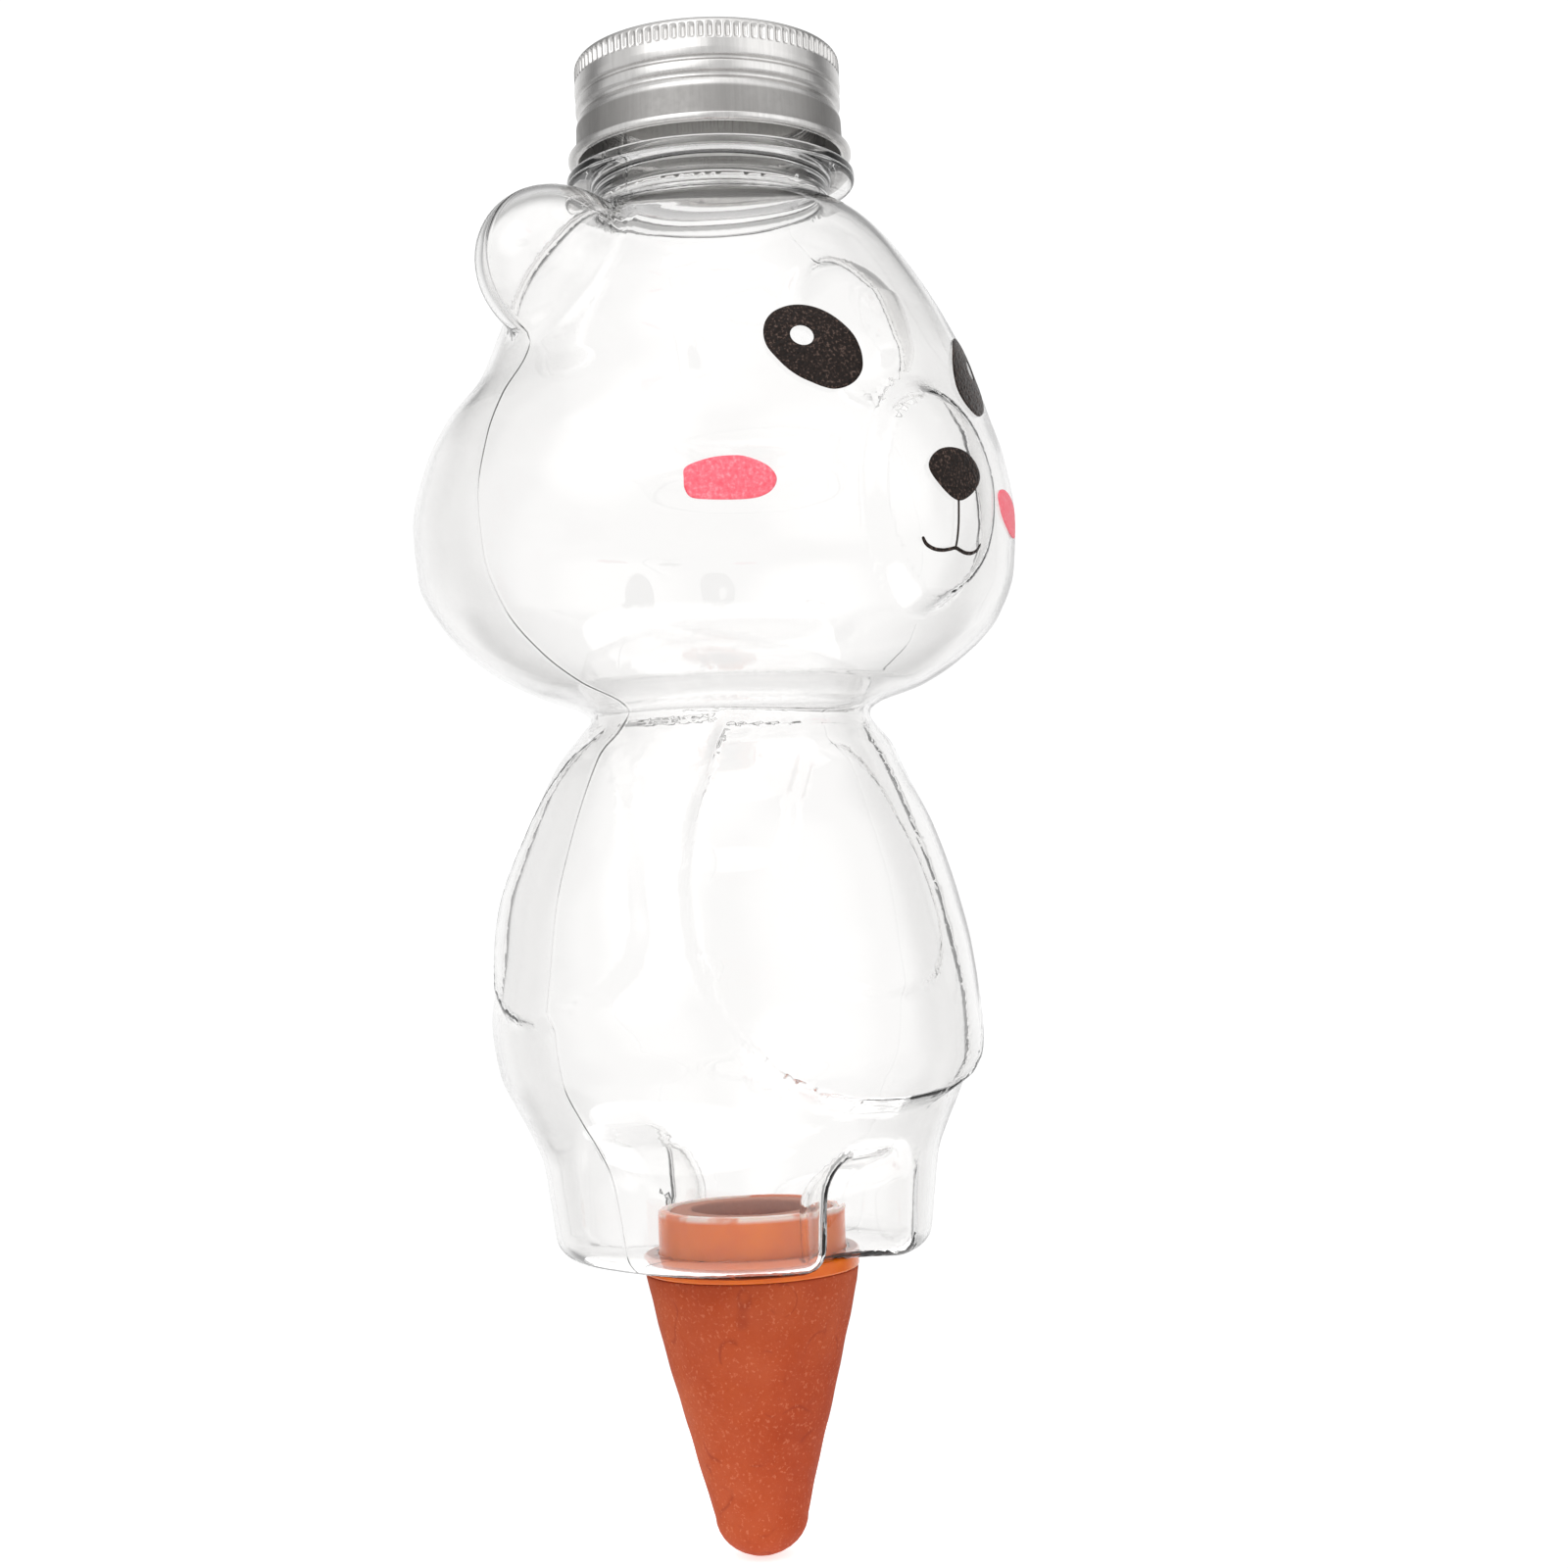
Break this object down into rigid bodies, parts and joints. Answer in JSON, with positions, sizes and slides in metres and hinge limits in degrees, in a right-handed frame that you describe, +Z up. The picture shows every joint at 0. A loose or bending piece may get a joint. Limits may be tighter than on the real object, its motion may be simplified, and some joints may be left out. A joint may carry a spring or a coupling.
{
  "type": "plant self-watering bottle",
  "caption": "Clear bear-shaped bottle with an aluminium screw cap and an orange base collar holding a hollow terracotta spike that waters a plant pot.",
  "frame": {"origin": "on the bottle's axis in the plane of the underside of the collar's flange, which is the top of the clay cone's body and the height of the soil around the spike; the soles are 1.9 mm above it", "axes": "+Z up the bottle's axis to the cap; -Y is the way the bear faces; +X is the bear's left"},
  "size_m": [0.0926, 0.0887, 0.2194],
  "materials": {
    "clear_pet": "clear blow-moulded PET, glossy",
    "cap_aluminium": "satin lacquered, knurled rim",
    "liner_foam": "soft foamed sealing disc",
    "orange_plastic": "translucent orange moulding",
    "terracotta": "unglazed fired clay, matte, speckled",
    "black_ink": "grained satin black ink",
    "pink_ink": "satin pink ink"
  },
  "bodies": {
    "spike": {"terracotta_cone": "terracotta"},
    "collar": {"spike_collar": "orange_plastic"},
    "bottle": {"bottle_neck": "clear_pet", "bottle_head_front": "clear_pet", "bottle_head_back": "clear_pet", "bottle_body_front": "clear_pet", "bottle_body_back": "clear_pet", "bottle_leg_right_front": "clear_pet", "bottle_leg_right_back": "clear_pet", "bottle_leg_left_front": "clear_pet", "bottle_leg_left_back": "clear_pet", "eye_print_right": "black_ink", "eye_print_left": "black_ink", "cheek_print_right": "pink_ink", "cheek_print_left": "pink_ink", "nose_print": "black_ink", "mouth_print": "black_ink"},
    "liner": {"cap_liner": "liner_foam"},
    "cap": {"cap_shell": "cap_aluminium"}
  },
  "joints": [
    {"name": "collar_pull", "type": "slide", "parent": "spike", "child": "collar", "axis": [0, 0, 1], "range_m": [0, 0.012]},
    {"name": "bottle_pull", "type": "slide", "parent": "collar", "child": "bottle", "axis": [0, 0, 1], "range_m": [0, 0.012]},
    {"name": "cap_lift", "type": "slide", "parent": "bottle", "child": "liner", "axis": [0, 0, 1], "range_m": [0, 0.01429]},
    {"name": "cap_turn", "type": "hinge", "parent": "liner", "child": "cap", "pos_m": [0, 0, 0.17], "axis": [0, 0, 1], "range_deg": [0, 1620]}
  ],
  "couplings": [
    {"joint": "cap_lift", "follows": "cap_turn", "m_per_rad": 0.00050532}
  ]
}
